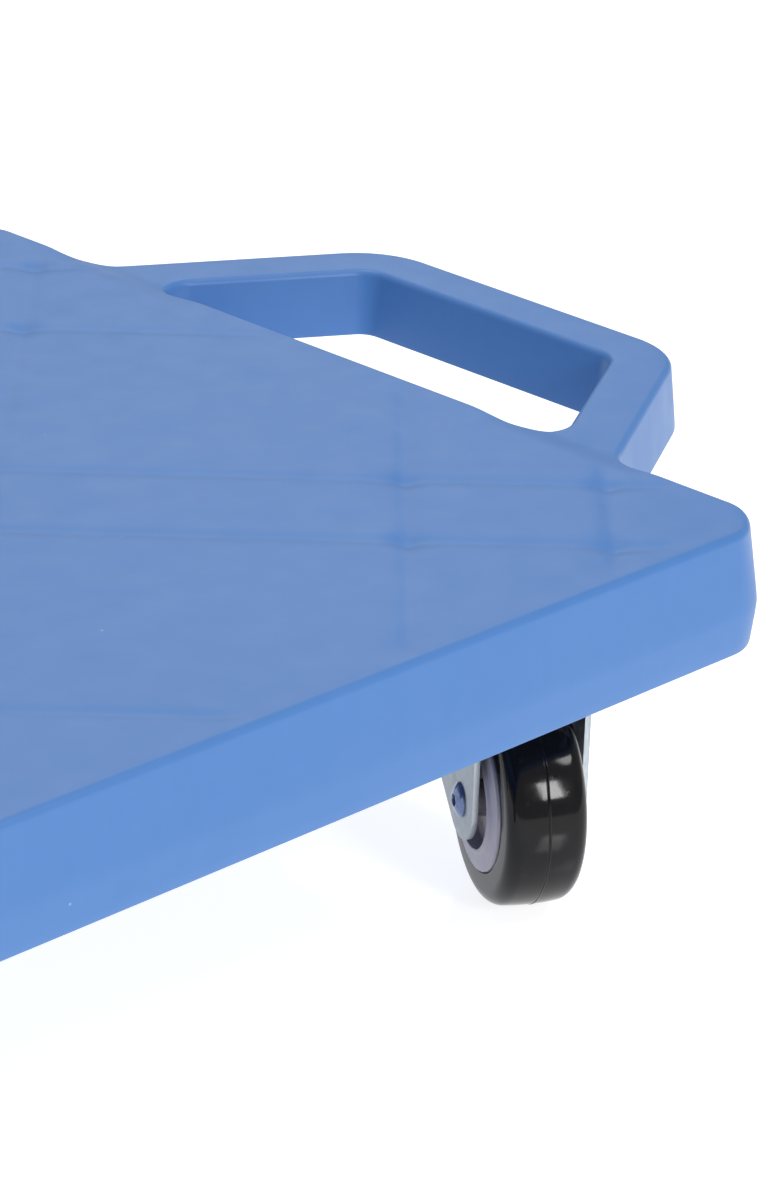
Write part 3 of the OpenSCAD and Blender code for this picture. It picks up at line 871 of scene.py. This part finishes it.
def dig_underside(skin, inner_row, inner_contour):
    """Rib bottoms at the seat's height, and the pockets and screw holes above them."""
    fence = [tuple(p) for p in inner_contour]
    pockets = rib_pockets(fence)
    points, triangles, within = triangulate([fence] + [outline for outline, _ in pockets])
    ids = skin.loop([(*p, SEAT_Z) for p in points])
    owners = {}
    rim = {}
    for corners, inside in zip(triangles, within):
        pocket = max(inside)
        owners.setdefault(pocket, []).append(corners)
        for a, b in zip(corners, corners[1:] + corners[:1]):
            edge = frozenset((a, b))
            rim[edge] = rim.get(edge, 0) + 1
    border = {i for edge, uses in rim.items() if uses == 1 for i in edge}
    skin.zip_round(inner_row, [ids[i] for i in border])
    for pocket, members in owners.items():
        if pocket == 0:
            for corners in members:
                skin.faces.append([ids[i] for i in corners])
        else:
            hollow(skin, points, ids, members, pockets[pocket - 1][1])


def hollow(skin, points, ids, members, ceiling_z):
    """Raises one pocket's floor to its ceiling and walls it in."""
    used = sorted({i for corners in members for i in corners})
    borders = {}
    for corners in members:
        for a, b in zip(corners, corners[1:] + corners[:1]):
            if (b, a) in borders:
                del borders[(b, a)]
            else:
                borders[(a, b)] = True
    top = dict(zip(used, skin.loop([(*points[i], ceiling_z) for i in used])))
    for corners in members:
        skin.faces.append([top[i] for i in corners])
    for a, b in borders:
        skin.faces.append((ids[a], ids[b], top[b], top[a]))


def make_deck(material):
    """The whole moulding: walls and top, skirt, ribs and the two hollow handles."""
    skin = Skin()
    holes = [np.array(hand_hole(HANDLE_SHIFT)), np.array(half_turn(hand_hole(-HANDLE_SHIFT)))]
    contours = [both_halves(board_outline), *holes]
    cover_top(skin, [raise_walls(skin, contour) for contour in contours])
    square = both_halves(square_outline)
    foot_r = 0.9
    foot_cut = 0.25
    foot = wall_inset(SKIRT_Z + foot_r - PARTING_Z)
    inner = SKIRT_TAPER + SKIRT_T
    rows = [(wall_inset(-drop), PARTING_Z - drop) for drop in (0, 0.6, 1.3, 2.2, 4, 7)]
    last_row = skin.bridge_rows(square, rows + [
        (foot, SKIRT_Z + foot_r),
        (foot + foot_cut, SKIRT_Z + foot_cut),
        (foot + foot_r, SKIRT_Z),
        (inner - foot_r, SKIRT_Z),
        (inner - foot_cut, SKIRT_Z + foot_cut),
        (inner, SKIRT_Z + foot_r),
    ])
    # The skirt's inner face leans in by a hair between its foot and the ribs.
    seat_inset = inner + 0.08
    dig_underside(skin, last_row, square[:, :2] - square[:, 2:] * seat_inset)
    for turn in (False, True):
        handle_floor(skin, turn)
    deck = skin.to_object("moulded_deck", "board", "deck_plastic", material)
    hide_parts("deck")


# ---------------------------------------------------------------- casters, in millimetres

class Wheel:
    """Where one caster's wheel and axle are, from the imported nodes."""

    def __init__(self, corner):
        low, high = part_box("tread_" + corner)
        self.centre = (low + high) / 2
        self.radius = (high.z - low.z) / 2
        low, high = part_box("kingpin_" + corner)
        trail = self.centre - (low + high) / 2
        trail.z = 0
        trail.normalize()
        self.trail = trail
        self.axle = Vector((trail.y, -trail.x, 0))

    def place(self, radius, along, turn):
        """A point at a radius from the axle and along it, in millimetres, at an angle round it."""
        spoke = self.trail * math.cos(turn) + Vector((0, 0, 1)) * math.sin(turn)
        return (self.centre + (self.axle * along + spoke * radius) * MM) / MM


def round_corners(points, radii, steps=4):
    """A closed section with each corner rounded by its own radius."""
    rounded = []
    count = len(points)
    for i in range(count):
        p = Vector(points[i])
        back = Vector(points[i - 1]) - p
        on = Vector(points[(i + 1) % count]) - p
        radius = radii[i]
        if radius <= 0:
            rounded.append(tuple(p))
            continue
        half = back.angle(on) / 2
        reach = radius / math.tan(half)
        start = p + back.normalized() * reach
        end = p + on.normalized() * reach
        for k in range(steps + 1):
            t = k / steps
            rounded.append(tuple(start.lerp(p, t).lerp(p.lerp(end, t), t)))
    return rounded


def lathe(skin, wheel, section, steps, shift=None):
    """Turns a closed section of (radius, along) points round the axle."""
    rings = []
    for k in range(steps):
        turn = 2 * math.pi * k / steps
        ring = []
        for radius, along in section:
            if shift:
                radius, along = shift(radius, along, turn)
            ring.append(wheel.place(radius, along, turn))
        rings.append(skin.loop(ring))
    for k in range(steps):
        skin.bridge(rings[k], rings[(k + 1) % steps])


TREAD_HALF = 10.25
# The tread is keyed into a waist round the middle of the hub.
HUB_R = 18.4
WAIST_R = 16.9
WAIST_Y = 7


def tread_section(radius):
    """Outline of the tread: crowned face, full shoulders and a dovetail inside."""
    shoulder = 4.1
    crown_sag = 0.30
    face_half = TREAD_HALF - shoulder
    crown_r = (face_half ** 2 + crown_sag ** 2) / (2 * crown_sag)
    outside = []
    # The points crowd towards the middle, where the mould line is.
    face_steps = 60
    for k in range(face_steps + 1):
        t = 1 - 2 * k / face_steps
        y = face_half * (0.35 * t + 0.65 * t ** 3)
        outside.append((radius - (crown_r - math.sqrt(crown_r ** 2 - y * y)), y))
    edge_r = outside[0][0]
    shoulder_steps = 8
    turns = [math.pi / 2 * k / shoulder_steps for k in range(shoulder_steps, 0, -1)]
    near = [(edge_r - shoulder + shoulder * math.cos(a), face_half + shoulder * math.sin(a)) for a in turns]
    far = [(r, -y) for r, y in reversed(near)]
    lip = 0.5
    dovetail = [
        (HUB_R + lip, -TREAD_HALF), (HUB_R, -TREAD_HALF + lip), (HUB_R, -WAIST_Y), (WAIST_R, -WAIST_Y),
        (WAIST_R, WAIST_Y), (HUB_R, WAIST_Y), (HUB_R, TREAD_HALF - lip), (HUB_R + lip, TREAD_HALF),
    ]
    return near + outside + far + dovetail


def make_tread(corner, wheel, material):
    """Urethane tyre with a fine mould line that wanders a little, and a groove beside it."""
    top_r = wheel.radius / MM
    ridge = 0.14
    groove = 0.10
    skin = Skin()

    def shift(radius, along, turn):
        """Moves only the points near the middle of the running face."""
        if radius > HUB_R + 6 and abs(along) < 2:
            wander = 0.22 * math.sin(2 * turn + 0.7) + 0.10 * math.sin(7 * turn) + 0.05 * math.sin(17 * turn)
            fade = 0.75 + 0.25 * math.sin(5 * turn + 1.0)
            radius += ridge * fade * math.exp(-((along - wander) / 0.11) ** 2)
            radius -= groove * math.exp(-((along - wander - 0.26) / 0.12) ** 2)
        return radius, along

    lathe(skin, wheel, tread_section(top_r - ridge), 180, shift)
    tread = skin.to_object("tyre_" + corner, "wheel_" + corner, "tread", material, 40)
    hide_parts("tread_" + corner)


def make_hub(corner, wheel, material):
    """Moulded hub with a bore for the bearings, a recess round it, a thin lip and a sloping rim."""
    # Radius, distance along the axle and fillet, from the bore outwards.
    half = [
        (8.5, 2, 0), (9.5, 2, 0), (9.5, 8, 0.2), (12.0, 8, 0.6), (12.6, 12, 0.25), (13.6, 11.9, 0.3),
        (14.0, 11.2, 0.3), (HUB_R - 0.2, 10.9, 0.4), (HUB_R, 10.3, 0.2), (HUB_R, WAIST_Y, 0),
        (WAIST_R, WAIST_Y, 0),
    ]
    points = half + [(r, -y, fillet) for r, y, fillet in reversed(half)]
    section = round_corners([p[:2] for p in points], [p[2] for p in points])
    skin = Skin()
    lathe(skin, wheel, section, 120)
    hub = skin.to_object("hub_" + corner, "wheel_" + corner, "hub_plastic", material, 30)
    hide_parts("wheel_hub_" + corner)


def soften(node, name, body, slot, material, width_mm, segments=3, sharp_deg=30):
    """A copy of a CAD node, the same shape and size, with its sharp edges broken."""
    mesh = bpy.data.meshes.new(name)
    bm = bmesh.new()
    bm.from_mesh(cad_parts[node].data)
    bmesh.ops.remove_doubles(bm, verts=bm.verts, dist=0.0005 * MM)
    bmesh.ops.dissolve_limit(
        bm, angle_limit=math.radians(0.5), verts=bm.verts, edges=bm.edges,
        use_dissolve_boundaries=False,
    )
    sharp = [e for e in bm.edges if len(e.link_faces) == 2 and e.calc_face_angle() > math.radians(sharp_deg)]
    bmesh.ops.bevel(
        bm, geom=sharp, offset=width_mm * MM, offset_type="OFFSET", segments=segments,
        profile=0.5, affect="EDGES", clamp_overlap=True,
    )
    bmesh.ops.recalc_face_normals(bm, faces=bm.faces)
    bm.to_mesh(mesh)
    bm.free()
    piece = add_piece(name, mesh, body, slot, material, 32)
    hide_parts(node)


def make_caster(corner, paints):
    """One caster: a new tread and hub, softened steel parts, and the CAD balls and bearings."""
    wheel = Wheel(corner)
    make_tread(corner, wheel, paints["tread"])
    make_hub(corner, wheel, paints["hub_plastic"])
    swivel = "swivel_" + corner
    softened = [
        ("fork", "pressed_fork", swivel, "zinc_plate", 0.45),
        ("caster_plate", "top_plate", "board", "zinc_plate", 0.3),
        ("axle_sleeve", "socket_sleeve", swivel, "zinc_fastener", 0.12),
        ("axle_screw", "socket_screw", swivel, "zinc_fastener", 0.12),
        ("kingpin", "rivet", "board", "bearing_steel", 0.25),
        ("race_cap", "race_cup", "board", "bearing_steel", 0.2),
    ]
    for node, name, body, slot, width in softened:
        soften(f"{node}_{corner}", f"{name}_{corner}", body, slot, paints[slot], width)
    carried = ("upper_balls", "lower_balls", "axle_spacers", "bearing_inner_rings",
               "bearing_balls", "bearing_outer_rings")
    for node in carried:
        carry(f"{node}_{corner}", paints["bearing_steel"])


def carry(node, material):
    """A CAD node that keeps its shape and gets a better material."""
    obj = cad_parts[node]
    obj.data.materials.clear()
    obj.data.materials.append(material)


# ---------------------------------------------------------------- scene

make_camera()
make_studio()
PAINTS = {
    "deck_plastic": deck_plastic(),
    "zinc_plate": zinc(
        "zinc_plate", dull=(0.25, 0.29, 0.32), bright=(0.38, 0.42, 0.44), roughness=(0.34, 0.48),
        spangle_mm=3.0, edge_highlight_gain=0.5, edge_highlight_colour=(0.60, 0.65, 0.70),
    ),
    "zinc_fastener": zinc(
        "zinc_fastener", dull=(0.06, 0.09, 0.22), bright=(0.22, 0.28, 0.44), roughness=(0.10, 0.20),
        spangle_mm=2.0, edge_highlight_gain=0.9, edge_highlight_colour=(0.78, 0.84, 0.92),
    ),
    "bearing_steel": bearing_steel(),
    "hub_plastic": hub_plastic(),
    "tread": urethane(),
}
make_deck(PAINTS["deck_plastic"])
soften("mount_screws", "plate_screws", "board", "zinc_fastener", PAINTS["zinc_fastener"], 0.15, segments=2)
for corner_name in CORNERS:
    make_caster(corner_name, PAINTS)

boxes = {"cad": CAD_BOX, "visual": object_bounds()}
{name: [list(point) for point in box] for name, box in boxes.items()}
